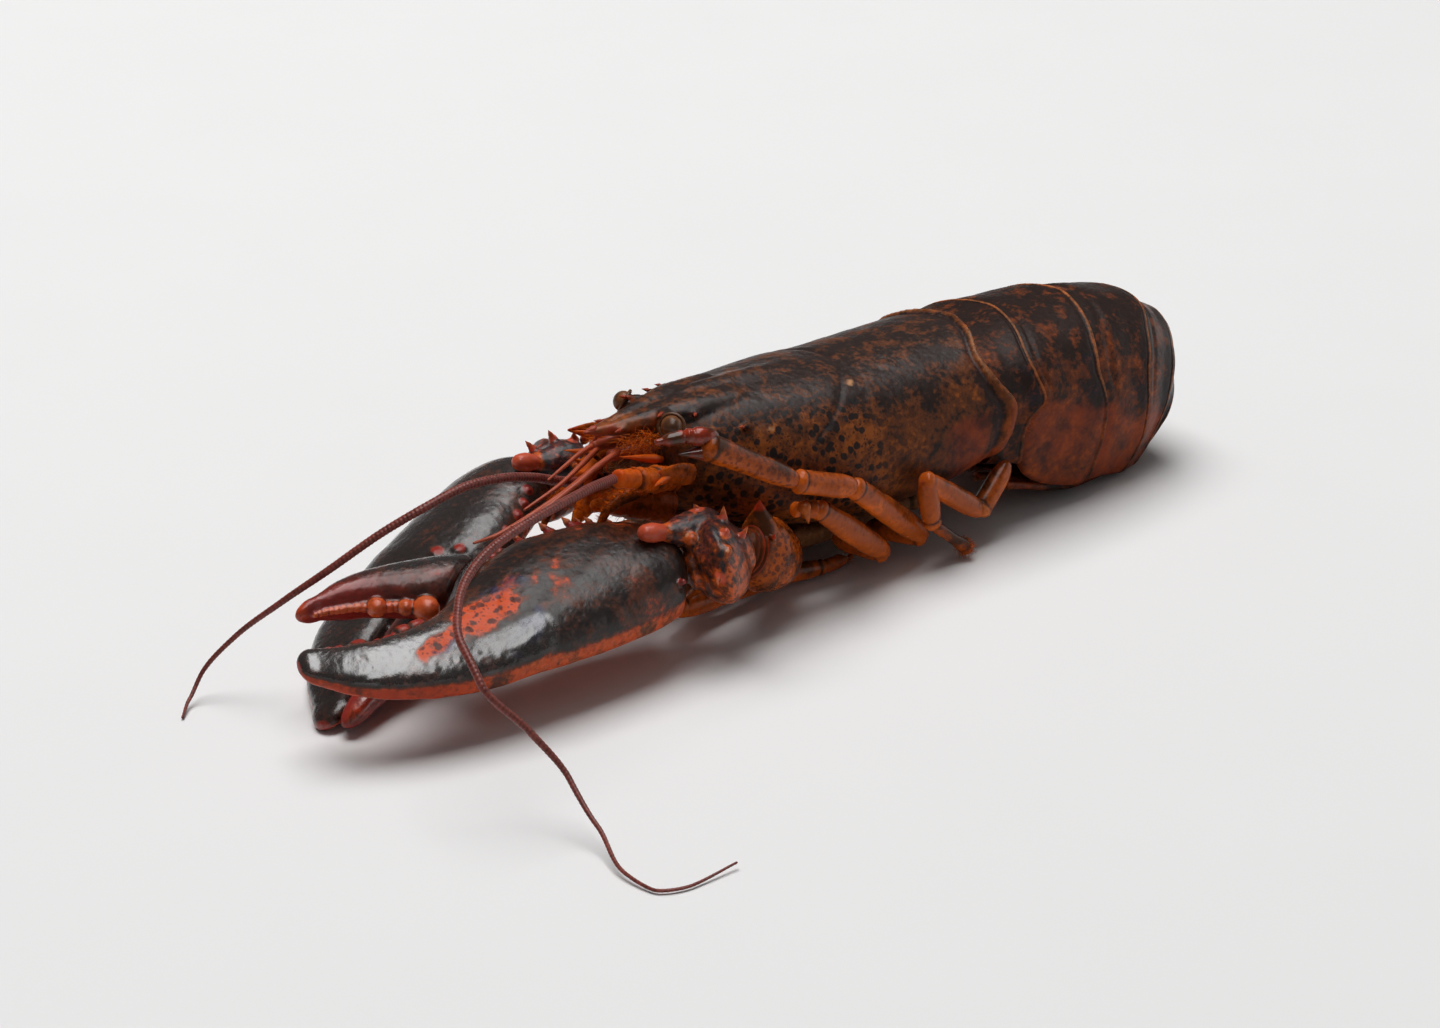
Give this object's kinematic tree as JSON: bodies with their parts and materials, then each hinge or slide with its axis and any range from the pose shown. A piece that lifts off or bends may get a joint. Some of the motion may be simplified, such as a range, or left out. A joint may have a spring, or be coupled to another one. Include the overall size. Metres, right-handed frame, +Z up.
{
  "type": "raw lobster",
  "caption": "Whole raw lobster lying on its belly with the tail curled under, claws stretched forward, folded walking legs and long curved antennae.",
  "frame": {"origin": "on the floor under the middle of the whole bounding box", "axes": "+X towards the tail along the body, -Y the animal's left side, +Z up"},
  "size_m": [0.2666, 0.1486, 0.0509],
  "materials": {
    "shell": "wet glossy hard shell, near black with rust mottling",
    "tail_shell": "glossy shell, dark brown to red brown",
    "claw_shell": "glossy pitted shell, brown black with an orange underside",
    "limb_shell": "satin orange brown shell with dark freckles",
    "feeler": "finely ringed dark red",
    "underside": "moist tan brown skin and bristles",
    "eye": "dark glossy bead in a brown ring"
  },
  "bodies": {
    "root": {"antenna_base_left": "limb_shell", "antenna_base_right": "limb_shell", "antenna_left": "feeler", "antenna_right": "feeler", "antennule_left": "feeler", "antennule_right": "feeler", "carapace": "shell", "carpus_left": "claw_shell", "carpus_right": "claw_shell", "claw_left": "claw_shell", "claw_right": "claw_shell", "eye_left": "eye", "eye_right": "eye", "finger_left": "claw_shell", "finger_right": "claw_shell", "jaw_leg_left": "limb_shell", "jaw_leg_right": "limb_shell", "leg_2_left": "limb_shell", "leg_2_right": "limb_shell", "leg_3_left": "limb_shell", "leg_3_right": "limb_shell", "leg_4_left": "limb_shell", "leg_4_right": "limb_shell", "leg_5_left": "limb_shell", "leg_5_right": "limb_shell", "merus_left": "limb_shell", "merus_right": "limb_shell", "mouth": "underside", "scale_left": "limb_shell", "scale_right": "limb_shell", "tail_1": "tail_shell", "tail_2": "tail_shell", "tail_3": "tail_shell", "tail_4": "tail_shell", "tail_5": "tail_shell", "tail_6": "tail_shell", "telson": "tail_shell", "thorax": "underside", "uropod_inner_left": "tail_shell", "uropod_inner_right": "tail_shell", "uropod_outer_left": "tail_shell", "uropod_outer_right": "tail_shell"}
  },
  "joints": []
}
